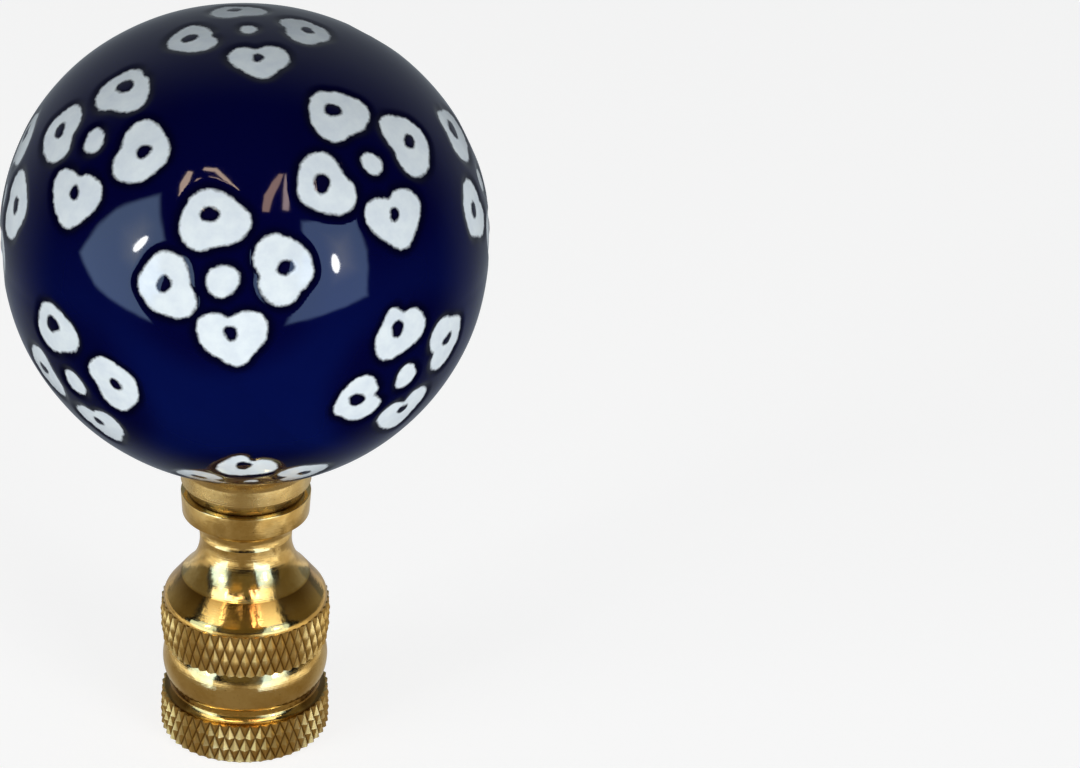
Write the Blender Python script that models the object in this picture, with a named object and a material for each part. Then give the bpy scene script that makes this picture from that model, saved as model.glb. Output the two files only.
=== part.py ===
"""Lamp shade finial.

A glazed ceramic ball rests in a small turned brass seat, and the seat stands on a turned brass base.
The base has two diamond-knurled bands, where fingers turn it, and a blind hole in its underside for
the threaded stud of a lamp harp. Everything is turned about the Z axis and stands on the plane Z = 0.
"""

import math

import bmesh
import bpy

MM = 0.001

# Clearance between two pieces that touch
GAP = 0.3 * MM

# Hole in the underside of the base
BORE_RADIUS = 3.2 * MM
BORE_DEPTH = 10.0 * MM
BORE_MOUTH_CHAMFER = 0.45 * MM
BORE_POINT_HEIGHT = 1.4 * MM

# Diamond knurling
DIAMONDS = 50
KNURL_DEPTH = 0.26 * MM
KNURL_ROW_HEIGHT = 1.0 * MM

# Outside of the base, from the foot upwards
FOOT_RADIUS = 5.95 * MM
FOOT_CHAMFER = 0.2 * MM
LOWER_KNURL_HEIGHT = 3.0 * MM
LOWER_KNURL_FOOT_RADIUS = 6.35 * MM
LOWER_KNURL_TOP_RADIUS = 6.26 * MM
LOWER_KNURL_BULGE = 0.02 * MM
GROOVE_HEIGHT = 1.1 * MM
GROOVE_RADIUS = 5.45 * MM
POLISHED_RING_HEIGHT = 3.2 * MM
POLISHED_RING_EDGE_RADIUS = 5.72 * MM
POLISHED_RING_BULGE = 0.4 * MM
UPPER_KNURL_HEIGHT = 3.4 * MM
UPPER_KNURL_FOOT_RADIUS = 6.12 * MM
UPPER_KNURL_TOP_RADIUS = 6.22 * MM
UPPER_KNURL_BULGE = 0.1 * MM
SHOULDER_RADIUS = 6.06 * MM
SHOULDER_HEIGHT = 2.05 * MM
SHOULDER_BULGE = 0.13 * MM
CREASE_RADIUS = 4.74 * MM
BELL_HEIGHT = 3.45 * MM
BELL_HOLLOW = 0.36 * MM
NECK_RADIUS = 3.38 * MM
COVE_HEIGHT = 1.8 * MM
COVE_RADIUS = 4.5 * MM
COVE_HOLLOW = 0.5 * MM
FLANGE_HEIGHT = 1.75 * MM
FLANGE_FOOT_RADIUS = 4.62 * MM
FLANGE_TOP_RADIUS = 4.72 * MM
FLANGE_CHAMFER = 0.08 * MM

# Seat under the ball
SEAT_NECK_HEIGHT = 0.64 * MM
SEAT_NECK_FOOT_RADIUS = 4.35 * MM
SEAT_NECK_TOP_RADIUS = 4.56 * MM
SEAT_BAND_RADIUS = 4.72 * MM
SEAT_BAND_HEIGHT = 1.2 * MM
SEAT_FLOOR_THICKNESS = 1.9 * MM
SEAT_RIM_RADIUS = 5.45 * MM
SEAT_RIM_THICKNESS = 0.25 * MM
SEAT_FLARE_HOLLOW = 0.1 * MM
SEAT_SEGMENTS = 60

# Ball: a sphere, a little fuller above its middle and a little narrower towards its foot
BALL_RADIUS = 16.85 * MM
BALL_FULLNESS = 0.34 * MM
BALL_TAPER = 0.35 * MM
BALL_TAPER_START = math.radians(75)
BALL_TAPER_END = math.radians(150)
BALL_SEGMENTS = 48
BALL_RINGS = 24

# Heights of the levels of the base above the plane it stands on
GROOVE_LEVEL = FOOT_CHAMFER + LOWER_KNURL_HEIGHT
POLISHED_RING_LEVEL = GROOVE_LEVEL + GROOVE_HEIGHT
UPPER_KNURL_LEVEL = POLISHED_RING_LEVEL + POLISHED_RING_HEIGHT
SHOULDER_LEVEL = UPPER_KNURL_LEVEL + UPPER_KNURL_HEIGHT
CREASE_LEVEL = SHOULDER_LEVEL + SHOULDER_HEIGHT
NECK_LEVEL = CREASE_LEVEL + BELL_HEIGHT
FLANGE_LEVEL = NECK_LEVEL + COVE_HEIGHT
BASE_TOP_LEVEL = FLANGE_LEVEL + FLANGE_HEIGHT

# Heights of the seat and of the ball's centre above that plane
SEAT_LEVEL = BASE_TOP_LEVEL + GAP
BALL_CENTRE_OVER_SEAT = SEAT_FLOOR_THICKNESS + GAP + BALL_RADIUS - BALL_TAPER
BALL_LEVEL = SEAT_LEVEL + BALL_CENTRE_OVER_SEAT

SHARP_ANGLE = math.radians(28)


def clear_scene():
    for old in list(bpy.data.objects):
        bpy.data.objects.remove(old, do_unlink=True)


def material(name, colour, metallic, roughness):
    made = bpy.data.materials.new(name)
    made.use_nodes = True
    shader = made.node_tree.nodes["Principled BSDF"]
    shader.inputs["Base Color"].default_value = (*colour, 1.0)
    shader.inputs["Metallic"].default_value = metallic
    shader.inputs["Roughness"].default_value = roughness
    return made


def add_object(name, bm, level, finish, parent):
    """Make an object at a level on the axis from a finished bmesh."""
    mesh = bpy.data.meshes.new(name)
    bm.to_mesh(mesh)
    bm.free()
    mesh.shade_smooth()
    mesh.set_sharp_from_angle(angle=SHARP_ANGLE)
    mesh.materials.append(finish)
    made = bpy.data.objects.new(name, mesh)
    bpy.context.scene.collection.objects.link(made)
    made.location = (0.0, 0.0, level)
    made.parent = parent
    return made


def arc(start, end, bulge, steps):
    """Points of a turned profile after start, up to and with end, on an arc that bulges by the given height.

    A profile runs up the outside, so a positive bulge swells the piece and a negative one hollows it.
    """
    along = (end[0] - start[0], end[1] - start[1])
    chord = math.hypot(*along)
    outward = (along[1] / chord, -along[0] / chord)
    half_turn = 2.0 * math.atan2(2.0 * abs(bulge), chord)
    radius = chord / (2.0 * math.sin(half_turn))
    side = math.copysign(1.0, bulge)
    points = []
    for step in range(1, steps + 1):
        share = step / steps
        angle = half_turn * (2.0 * share - 1.0)
        forward = 0.5 + math.sin(angle) * radius / chord
        lift = side * radius * (math.cos(angle) - math.cos(half_turn))
        points.append((start[0] + along[0] * forward + outward[0] * lift,
                       start[1] + along[1] * forward + outward[1] * lift))
    return points


def plain_rings(profile, count):
    """Each point (radius, height) of a profile as a ring of count equal radii; a point on the axis is one."""
    rings = []
    for radius, height in profile:
        rings.append(([radius] * count if radius > 0.0 else [0.0], height))
    return rings


def knurl_rings(level, height, foot_radius, top_radius, bulge):
    """Rings of a knurled band: peaks and valleys alternate around each ring and from ring to ring."""
    rows = max(2, round(height / KNURL_ROW_HEIGHT))
    crests = [(foot_radius, level)] + arc((foot_radius, level), (top_radius, level + height), bulge, rows)
    rings = []
    for row, (crest, ring_height) in enumerate(crests):
        radii = [crest - KNURL_DEPTH * ((column + row) % 2) for column in range(2 * DIAMONDS)]
        rings.append((radii, ring_height))
    return rings


def corner(ring, index, count):
    """The vertex of a ring at one of count places, where the ring has count, half as many or one."""
    return ring[(index * len(ring) // count) % len(ring)]


def join(bm, first, second):
    """Triangles between two neighbouring rings, split along the valleys of a knurl."""
    count = max(len(first), len(second))
    for index in range(count):
        a = corner(first, index, count)
        b = corner(first, index + 1, count)
        c = corner(second, index + 1, count)
        d = corner(second, index, count)
        if a is b:
            bm.faces.new((a, c, d))
        elif c is d:
            bm.faces.new((a, b, c))
        elif a.co.xy.length + c.co.xy.length < b.co.xy.length + d.co.xy.length:
            bm.faces.new((a, b, c))
            bm.faces.new((a, c, d))
        else:
            bm.faces.new((a, b, d))
            bm.faces.new((b, c, d))


def turned(rings):
    """A closed body from rings in order, from one point on the axis around its outside to another."""
    bm = bmesh.new()
    before = None
    for radii, height in rings:
        vertices = []
        for index, radius in enumerate(radii):
            angle = math.tau * index / len(radii)
            vertices.append(bm.verts.new((radius * math.cos(angle), radius * math.sin(angle), height)))
        if before is not None:
            join(bm, before, vertices)
        before = vertices
    return bm


def base_rings():
    """The base: up into the bore, out over the foot, up the outside and in over the top."""
    bore = [
        (0.0, BORE_DEPTH + BORE_POINT_HEIGHT),
        (BORE_RADIUS, BORE_DEPTH),
        (BORE_RADIUS, BORE_MOUTH_CHAMFER),
        (BORE_RADIUS + BORE_MOUTH_CHAMFER, 0.0),
        (FOOT_RADIUS, 0.0),
    ]
    lower_knurl = knurl_rings(FOOT_CHAMFER, LOWER_KNURL_HEIGHT, LOWER_KNURL_FOOT_RADIUS,
                              LOWER_KNURL_TOP_RADIUS, LOWER_KNURL_BULGE)
    ring_foot = (POLISHED_RING_EDGE_RADIUS, POLISHED_RING_LEVEL)
    ring_top = (POLISHED_RING_EDGE_RADIUS, UPPER_KNURL_LEVEL)
    middle = [
        (GROOVE_RADIUS, GROOVE_LEVEL),
        (GROOVE_RADIUS, POLISHED_RING_LEVEL),
        ring_foot,
        *arc(ring_foot, ring_top, POLISHED_RING_BULGE, 6),
    ]
    upper_knurl = knurl_rings(UPPER_KNURL_LEVEL, UPPER_KNURL_HEIGHT, UPPER_KNURL_FOOT_RADIUS,
                              UPPER_KNURL_TOP_RADIUS, UPPER_KNURL_BULGE)
    shoulder = (SHOULDER_RADIUS, SHOULDER_LEVEL)
    crease = (CREASE_RADIUS, CREASE_LEVEL)
    neck = (NECK_RADIUS, NECK_LEVEL)
    cove = (COVE_RADIUS, FLANGE_LEVEL)
    bell = [
        shoulder,
        *arc(shoulder, crease, SHOULDER_BULGE, 4),
        *arc(crease, neck, -BELL_HOLLOW, 6),
        *arc(neck, cove, -COVE_HOLLOW, 5),
        (FLANGE_FOOT_RADIUS, FLANGE_LEVEL),
        (FLANGE_TOP_RADIUS, BASE_TOP_LEVEL - FLANGE_CHAMFER),
        (FLANGE_TOP_RADIUS - FLANGE_CHAMFER, BASE_TOP_LEVEL),
        (0.0, BASE_TOP_LEVEL),
    ]
    return (plain_rings(bore, DIAMONDS) + lower_knurl + plain_rings(middle, DIAMONDS)
            + upper_knurl + plain_rings(bell, DIAMONDS))


def ball_radius(polar):
    """Distance from the ball's centre to its surface, at an angle from the top of its axis."""
    radius = BALL_RADIUS
    if polar < math.pi / 2:
        greatest = 2.0 / (3.0 * math.sqrt(3.0))
        radius += BALL_FULLNESS * math.sin(polar) ** 2 * math.cos(polar) / greatest
    share = min(1.0, max(0.0, (polar - BALL_TAPER_START) / (BALL_TAPER_END - BALL_TAPER_START)))
    return radius - BALL_TAPER * share * share * (3.0 - 2.0 * share)


def dish_point(polar):
    """A point of the seat's dish, which follows the ball at the clearance."""
    radius = ball_radius(polar) + GAP
    return (radius * math.sin(polar), BALL_CENTRE_OVER_SEAT + radius * math.cos(polar))


def seat_rings():
    """The seat: its foot, the neck, the band, the flare out to the rim, and the dish under the ball."""
    steps = 5
    rim_polar = math.pi - math.asin(SEAT_RIM_RADIUS / (BALL_RADIUS - BALL_TAPER + GAP))
    dish = [dish_point(rim_polar + (math.pi - rim_polar) * step / steps) for step in range(steps)]
    band_top = (SEAT_BAND_RADIUS, SEAT_NECK_HEIGHT + SEAT_BAND_HEIGHT)
    rim_foot = (dish[0][0], dish[0][1] - SEAT_RIM_THICKNESS)
    profile = [
        (0.0, 0.0),
        (SEAT_NECK_FOOT_RADIUS, 0.0),
        (SEAT_NECK_TOP_RADIUS, SEAT_NECK_HEIGHT),
        (SEAT_BAND_RADIUS, SEAT_NECK_HEIGHT),
        band_top,
        *arc(band_top, rim_foot, -SEAT_FLARE_HOLLOW, 4),
        *dish,
        (0.0, SEAT_FLOOR_THICKNESS),
    ]
    return plain_rings(profile, SEAT_SEGMENTS)


def ball_body():
    """The ball: a sphere whose points move in or out to the ball's own form."""
    bm = bmesh.new()
    bmesh.ops.create_uvsphere(bm, u_segments=BALL_SEGMENTS, v_segments=BALL_RINGS, radius=BALL_RADIUS)
    for vertex in bm.verts:
        polar = math.acos(max(-1.0, min(1.0, vertex.co.z / vertex.co.length)))
        vertex.co *= ball_radius(polar) / BALL_RADIUS
    return bm


def main():
    clear_scene()
    brass = material("polished_brass", (0.48, 0.33, 0.11), 1.0, 0.22)
    seat_brass = material("satin_brass", (0.52, 0.38, 0.15), 1.0, 0.3)
    glaze = material("cobalt_glaze", (0.004, 0.005, 0.055), 0.0, 0.08)
    finial = bpy.data.objects.new("finial", None)
    bpy.context.scene.collection.objects.link(finial)
    add_object("base", turned(base_rings()), 0.0, brass, finial)
    add_object("seat_collar", turned(seat_rings()), SEAT_LEVEL, seat_brass, finial)
    add_object("ceramic_ball", ball_body(), BALL_LEVEL, glaze, finial)


main()
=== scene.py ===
"""Lamp shade finial: a glazed ceramic ball with dot flowers, on a turned brass seat and base.

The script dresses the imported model. It makes the three pieces of the finial as detailed meshes around
the same axis and at the same levels as the solids that they stand for, and a plain studio stage.
"""

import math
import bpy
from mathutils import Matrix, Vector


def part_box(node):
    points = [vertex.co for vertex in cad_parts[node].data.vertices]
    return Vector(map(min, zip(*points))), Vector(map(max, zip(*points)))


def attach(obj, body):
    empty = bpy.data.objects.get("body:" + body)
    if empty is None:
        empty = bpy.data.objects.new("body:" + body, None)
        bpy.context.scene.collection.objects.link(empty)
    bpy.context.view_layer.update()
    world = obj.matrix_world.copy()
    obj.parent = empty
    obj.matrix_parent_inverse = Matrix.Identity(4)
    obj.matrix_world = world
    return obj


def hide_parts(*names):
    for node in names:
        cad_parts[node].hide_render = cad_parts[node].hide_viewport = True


bl_info = {
    "name": "Lamp shade finial",
    "version": (1, 0, 0),
    "blender": (4, 5, 0),
    "location": "3D View > Sidebar > Finial",
    "description": "Makes a glazed ceramic lamp shade finial with its turned brass seat and base",
    "category": "Object",
}

from typing import NamedTuple

import bmesh
import bpy
import numpy as np
from bpy.props import FloatProperty, FloatVectorProperty, IntProperty, PointerProperty
from mathutils import Matrix, Vector

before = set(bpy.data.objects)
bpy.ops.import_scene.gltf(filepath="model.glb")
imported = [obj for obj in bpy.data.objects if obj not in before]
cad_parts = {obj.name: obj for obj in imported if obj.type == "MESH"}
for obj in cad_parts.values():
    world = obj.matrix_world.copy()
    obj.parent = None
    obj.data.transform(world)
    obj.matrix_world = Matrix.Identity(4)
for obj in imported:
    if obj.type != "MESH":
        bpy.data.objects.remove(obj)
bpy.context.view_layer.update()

MM = 0.001

# Places of the three solids on the axis, from the frame
BASE_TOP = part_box("base")[1].z
SEAT_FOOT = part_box("seat_collar")[0].z
BALL_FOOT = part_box("ceramic_ball")[0].z
BALL_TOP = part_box("ceramic_ball")[1].z

# Form of the ball: fuller above its middle, narrower towards its foot
BALL_FULLNESS = 0.34 * MM
BALL_TAPER = 0.35 * MM
BALL_TAPER_START = math.radians(75)
BALL_TAPER_END = math.radians(150)
BALL_RADIUS = (BALL_TOP - BALL_FOOT + BALL_TAPER) / 2.0
BALL_LEVEL = BALL_TOP - BALL_RADIUS
BALL_CUTS = 127

# How far distances are told over the ball, from a flower's middle and from an outline in it
FLOWER_REACH = 12.0 * MM
OUTLINE_REACH = 3.0 * MM

# The glaze lies this far inside the outline of the solid, to leave room for its waves
GLAZE_INSET = 0.03 * MM

# Outside of the base, from the foot upwards
FOOT_RADIUS = 5.95 * MM
FOOT_CHAMFER = 0.2 * MM
KNURL_ROW = 1.0 * MM
LOWER_KNURL_HEIGHT = 3.0 * MM
LOWER_KNURL_FOOT_RADIUS = 6.35 * MM
LOWER_KNURL_TOP_RADIUS = 6.26 * MM
LOWER_KNURL_BULGE = 0.02 * MM
GROOVE_HEIGHT = 1.1 * MM
GROOVE_RADIUS = 5.45 * MM
GROOVE_FILLET = 0.5 * MM
POLISHED_RING_HEIGHT = 3.2 * MM
POLISHED_RING_EDGE_RADIUS = 5.72 * MM
POLISHED_RING_BULGE = 0.4 * MM
UPPER_KNURL_HEIGHT = 3.4 * MM
UPPER_KNURL_FOOT_RADIUS = 6.12 * MM
UPPER_KNURL_TOP_RADIUS = 6.22 * MM
UPPER_KNURL_BULGE = 0.1 * MM
SHOULDER_RADIUS = 6.06 * MM
SHOULDER_HEIGHT = 2.05 * MM
SHOULDER_TURN_RADIUS = 5.74 * MM
SHOULDER_TURN_HEIGHT = 0.8 * MM
SHOULDER_BULGE = 0.07 * MM
CREASE_RADIUS = 4.74 * MM
BELL_HEIGHT = 3.45 * MM
BELL_HOLLOW = 0.46 * MM
NECK_RADIUS = 3.38 * MM
COVE_HEIGHT = 1.8 * MM
COVE_RADIUS = 4.5 * MM
COVE_HOLLOW = 0.5 * MM
FLANGE_FOOT_RADIUS = 4.62 * MM
FLANGE_TOP_RADIUS = 4.72 * MM

# Hole in the underside of the base, with the internal thread of a lamp harp's stud
BORE_RADIUS = 3.2 * MM
BORE_DEPTH = 10.0 * MM
BORE_MOUTH_CHAMFER = 0.45 * MM
BORE_POINT_HEIGHT = 1.4 * MM
ROWS_PER_THREAD = 6

# Levels of the base above the plane it stands on
GROOVE_LEVEL = FOOT_CHAMFER + LOWER_KNURL_HEIGHT
POLISHED_RING_LEVEL = GROOVE_LEVEL + GROOVE_HEIGHT
UPPER_KNURL_LEVEL = POLISHED_RING_LEVEL + POLISHED_RING_HEIGHT
SHOULDER_LEVEL = UPPER_KNURL_LEVEL + UPPER_KNURL_HEIGHT
CREASE_LEVEL = SHOULDER_LEVEL + SHOULDER_HEIGHT
NECK_LEVEL = CREASE_LEVEL + BELL_HEIGHT
FLANGE_LEVEL = NECK_LEVEL + COVE_HEIGHT

# Seat under the ball. What touches in the real finial is drawn this close together
TOUCH = 0.03 * MM
SEAT_NECK_HEIGHT = 0.64 * MM
SEAT_NECK_FOOT_RADIUS = 4.22 * MM
SEAT_NECK_TOP_RADIUS = 4.4 * MM
SEAT_BAND_RADIUS = 4.72 * MM
SEAT_BAND_HEIGHT = 1.2 * MM
SEAT_RIM_RADIUS = 5.45 * MM
SEAT_RIM_THICKNESS = 0.25 * MM
SEAT_FLARE_HOLLOW = 0.1 * MM

# Places around each diamond of the knurl, and around the seat
STEPS_PER_DIAMOND = 8
SEAT_STEPS = 240

# Rounding of turned edges
BELL_ROUNDING = 0.1 * MM
GROOVE_ROUNDING = 0.12 * MM
SEAT_ROUNDING = 0.06 * MM

# The ledge under the groove, inside the knurl's top edge and just above it
LEDGE_INSET = 0.3 * MM
LEDGE_RISE = 0.02 * MM

# How much painted shade darkens places of the brass, from 0 where it is clean to 1 where it is brown
GROOVE_SHADE = 0.97
SHOULDER_SHADE = 0.76
CREASE_SHADE = 0.95
SEAT_NECK_SHADE = 0.95

# The line of painted shade at the crease reaches this far above and below it
CREASE_LINE = 0.055 * MM

# How much lighter the groove's painted shade is painted at its front, on its ledge and on its wall. It is so
# up to the first angle from the front, in degrees, and no longer at the second
FRONT_LIT_LEDGE = 0.1
FRONT_LIT_WALL = 0.5
FRONT_LIT_FULLY = 36
FRONT_LIT_NO_MORE = 52

# Roughness of the pressed faces of the knurl
KNURL_ROUGHNESS = 0.37

SEED = 7


class Petal(NamedTuple):
    """One white petal of a flower. Turns are in degrees, from the flower's right towards its top."""

    bearing: float
    distance: float
    size: float
    oval: float
    oval_turn: float
    corners: float
    corners_turn: float
    notch: float
    notch_turn: float
    eye: float
    eye_across: float
    eye_up: float


class Flower(NamedTuple):
    """One flower on the ball. Azimuth 0 faces -Y.

    Spread and scale are the distance and the size of its petals against the drawn ones, dot is the
    radius of the dot at its middle, and cleft is the depth of the petals' notches against the drawn one.
    """

    azimuth: float
    elevation: float
    turn: float
    spread: float
    scale: float
    dot: float
    cleft: float


# Every flower has the same four petals around a dot, as slices of one rod have. Their values come from
# a least-squares fit, made outside this script, to outlines read by hand off the photograph's flowers
PETALS = (
    Petal(101, 3.90 * MM, 2.02 * MM, 0.085, 11, 0.095, 107, 0.20 * MM, 78, 0.60 * MM, -0.22 * MM, 0.35 * MM),
    Petal(14, 3.83 * MM, 2.06 * MM, 0.100, 102, 0.085, 134, 0.18 * MM, 192, 0.52 * MM, 0.19 * MM, 0.11 * MM),
    Petal(-80, 3.76 * MM, 2.02 * MM, 0.100, 6, 0.125, 37, 0.28 * MM, 101, 0.46 * MM, -0.10 * MM, 0.23 * MM),
    Petal(-170, 3.68 * MM, 1.97 * MM, 0.100, 114, 0.080, 78, 0.21 * MM, 3, 0.58 * MM, -0.22 * MM, 0.13 * MM),
)

# Places of the flowers. Those at the front were worked out from the photograph and adjusted
FLOWERS = (
    Flower(0, 83.9, 1, 1.02, 0.88, 0.58 * MM, 1.0),
    Flower(-50, 41.0, -2, 1.0, 0.97, 0.84 * MM, 0.8),
    Flower(37, 39.3, -3, 1.0, 0.99, 0.76 * MM, 1.0),
    Flower(130, 40, 3, 1.0, 1.0, 0.84 * MM, 1.2),
    Flower(-140, 41, -1, 1.0, 0.98, 0.90 * MM, 0.9),
    Flower(-5.5, 17, 0, 1.0, 1.0, 1.05 * MM, 0.9),
    Flower(85, 20.5, -3, 1.04, 1.0, 0.80 * MM, 1.0),
    Flower(180, 18, 2, 1.0, 1.0, 0.92 * MM, 1.1),
    Flower(-85.5, 15, 0, 1.02, 1.0, 0.84 * MM, 1.0),
    Flower(-45.3, -17.0, 2, 1.04, 0.95, 0.95 * MM, 0.6),
    Flower(40.4, -12.6, 5, 1.02, 0.97, 0.95 * MM, 1.9),
    Flower(131, -13, -2, 1.0, 1.0, 0.88 * MM, 1.0),
    Flower(-137, -14, 1, 1.0, 0.98, 0.82 * MM, 1.2),
    Flower(2.0, -50.9, -4, 0.95, 0.94, 0.50 * MM, 3.4),
    Flower(91, -43, 2, 1.0, 1.0, 0.86 * MM, 1.1),
    Flower(-179, -44, -3, 1.0, 0.98, 0.90 * MM, 1.3),
    Flower(-89, -42, 1, 1.0, 1.0, 0.82 * MM, 1.0),
)


def srgb(code):
    """Linear colour of an sRGB hex value."""
    channels = [int(code[place:place + 2], 16) / 255.0 for place in (0, 2, 4)]
    return tuple(c / 12.92 if c <= 0.04045 else ((c + 0.055) / 1.055) ** 2.4 for c in channels)


class BallSettings(bpy.types.PropertyGroup):
    """Sizes and colours of the glazed ball."""

    petal_scale: FloatProperty(
        name="Petal scale", description="Size of the petals against the drawn one",
        default=1.0, min=0.3, max=1.4)
    pit_depth: FloatProperty(
        name="Pit depth", description="How far the petals lie below the glaze around them",
        default=0.10 * MM, unit="LENGTH", precision=5)
    pit_wall: FloatProperty(
        name="Pit wall", description="Width of the soft slope around each petal",
        default=0.50 * MM, unit="LENGTH", precision=5)
    wave_height: FloatProperty(
        name="Glaze waves", description="Height of the slow waves that the melted glaze keeps",
        default=0.012 * MM, unit="LENGTH", precision=5)
    white: FloatVectorProperty(
        name="White", description="Colour of the petals and dots",
        subtype="COLOR", default=srgb("F0FAFF"))
    shaded_white: FloatVectorProperty(
        name="Shaded white", description="Colour of the cloudy patches in the petals",
        subtype="COLOR", default=srgb("E0EBF5"))
    cobalt: FloatVectorProperty(
        name="Cobalt", description="Colour of the ground between the flowers",
        subtype="COLOR", default=srgb("041150"))
    # Also the colour towards which painted shade darkens the top of the ball
    deep_cobalt: FloatVectorProperty(
        name="Deep cobalt", description="Colour of the ground inside the flowers",
        subtype="COLOR", default=srgb("020234"))
    outline: FloatVectorProperty(
        name="Outline", description="Colour of the dark line around each petal",
        subtype="COLOR", default=srgb("020219"))
    eye: FloatVectorProperty(
        name="Eye", description="Colour of the spot in each petal",
        subtype="COLOR", default=srgb("07062E"))


class BaseSettings(bpy.types.PropertyGroup):
    """Sizes and colours of the turned brass base."""

    diamonds: IntProperty(
        name="Diamonds", description="Knurled diamonds around each band",
        default=50, min=12, max=90)
    knurl_depth: FloatProperty(
        name="Knurl depth", description="Height of a diamond above the valleys around it",
        default=0.27 * MM, unit="LENGTH", precision=5)
    knurl_edge: FloatProperty(
        name="Knurl edge", description="How far the first and last rows of a band are rubbed down",
        default=0.04 * MM, unit="LENGTH", precision=5)
    thread_pitch: FloatProperty(
        name="Thread pitch", description="Rise of the internal thread in one turn, 27 to the inch",
        default=25.4 * MM / 27.0, unit="LENGTH", precision=5)
    thread_depth: FloatProperty(
        name="Thread depth", description="Height of the internal thread's ridge",
        default=0.42 * MM, unit="LENGTH", precision=5)
    brass: FloatVectorProperty(
        name="Brass", description="Colour of clean polished brass",
        subtype="COLOR", default=srgb("E7CE91"))
    # Also the colour that painted shade gives the shoulder and the groove
    tarnish_and_shade_colour: FloatVectorProperty(
        name="Tarnish", description="Colour of the brass where fingers and air have dulled it",
        subtype="COLOR", default=srgb("CFAE68"))
    # Also the colour of the painted shade in the groove and at the crease, and of the specks
    grime_and_shade_colour: FloatVectorProperty(
        name="Grime", description="Colour of the bottoms of the knurl and the grooves",
        subtype="COLOR", default=srgb("6A481A"))


class SeatSettings(bpy.types.PropertyGroup):
    """Colours of the turned brass seat."""

    brass: FloatVectorProperty(
        name="Brass", description="Colour of satin brass",
        subtype="COLOR", default=srgb("E5CF97"))
    # Also the colour that painted shade gives the recess under the band
    tarnish_and_shade_colour: FloatVectorProperty(
        name="Tarnish", description="Colour of the dulled patches",
        subtype="COLOR", default=srgb("CDB072"))
    # Also the colour of the painted shade in the recess under the band, and of the specks
    grime_and_shade_colour: FloatVectorProperty(
        name="Grime", description="Colour of the recess under the band",
        subtype="COLOR", default=srgb("5A3C18"))


class StageSettings(bpy.types.PropertyGroup):
    """Camera, floor and lights."""

    lens: FloatProperty(name="Lens", description="Focal length of the camera in millimetres", default=90.0)
    floor_colour: FloatVectorProperty(
        name="Floor", description="Colour of the plain pale floor",
        subtype="COLOR", default=srgb("F6F6F5"))
    left_glow: FloatProperty(
        name="Left glow", description="Radiance of the softbox at the left",
        default=3.0)
    right_glow: FloatProperty(
        name="Right glow", description="Radiance of the softbox at the right",
        default=4.0)
    fill_glow: FloatProperty(
        name="Fill glow", description="Radiance of the weak light at the front",
        default=0.5)
    dome_glow: FloatProperty(
        name="Dome glow", description="Radiance of the pale surroundings as they light the object",
        default=0.14)


def add_node(tree, kind, inputs=None, **attributes):
    """Add a node with its attributes. An input's value is linked where it is a socket and set where not."""
    made = tree.nodes.new(kind)
    for name, value in attributes.items():
        setattr(made, name, value)
    for key, value in (inputs or {}).items():
        if isinstance(value, bpy.types.NodeSocket):
            tree.links.new(value, made.inputs[key])
        else:
            made.inputs[key].default_value = value
    return made


# Places of the colour sockets in a Mix node
MIX_A = 6
MIX_B = 7
MIX_RESULT = 2


def opaque(colour):
    return (*colour, 1.0)


def mixed(tree, share, first, second):
    """The colour at a share of the way between two, each a socket or three numbers."""
    inputs = {0: share}
    for socket, colour in ((MIX_A, first), (MIX_B, second)):
        inputs[socket] = colour if isinstance(colour, bpy.types.NodeSocket) else opaque(colour)
    return add_node(tree, "ShaderNodeMix", inputs, data_type="RGBA").outputs[MIX_RESULT]


def calculated(tree, operation, *values, **attributes):
    """The result of a Math node on sockets or numbers."""
    inputs = dict(enumerate(values))
    return add_node(tree, "ShaderNodeMath", inputs, operation=operation, **attributes).outputs[0]


def ranged(tree, value, start, end, low=0.0, high=1.0, soft=False):
    """The value as it runs from low at start to high at end, and stays there outside them."""
    limits = {"Value": value, "From Min": start, "From Max": end, "To Min": low, "To Max": high}
    return add_node(tree, "ShaderNodeMapRange", limits,
                    interpolation_type="SMOOTHSTEP" if soft else "LINEAR").outputs["Result"]


def noise(tree, place, size, detail=2.0, roughness=0.5):
    """Noise in clouds of about the given size, with finer noise in it."""
    return add_node(tree, "ShaderNodeTexNoise", {
        "Vector": place, "Scale": 1.0 / size, "Detail": detail, "Roughness": roughness}).outputs["Fac"]


def field(tree, name):
    """The number that the mesh keeps under a name."""
    return add_node(tree, "ShaderNodeAttribute", attribute_name=name).outputs["Fac"]


def bumped(tree, height, strength, depth, **inputs):
    """The normal of a surface that a height between 0 and 1 raises by up to the given depth."""
    inputs.update({"Height": height, "Strength": strength, "Distance": depth})
    return add_node(tree, "ShaderNodeBump", inputs).outputs["Normal"]


def new_material(name):
    """An empty material, with its node tree, its shader and the socket of the place on the object."""
    made = bpy.data.materials.new(name)
    made.use_nodes = True
    tree = made.node_tree
    place = add_node(tree, "ShaderNodeTexCoord").outputs["Object"]
    return made, tree, tree.nodes["Principled BSDF"], place


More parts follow.
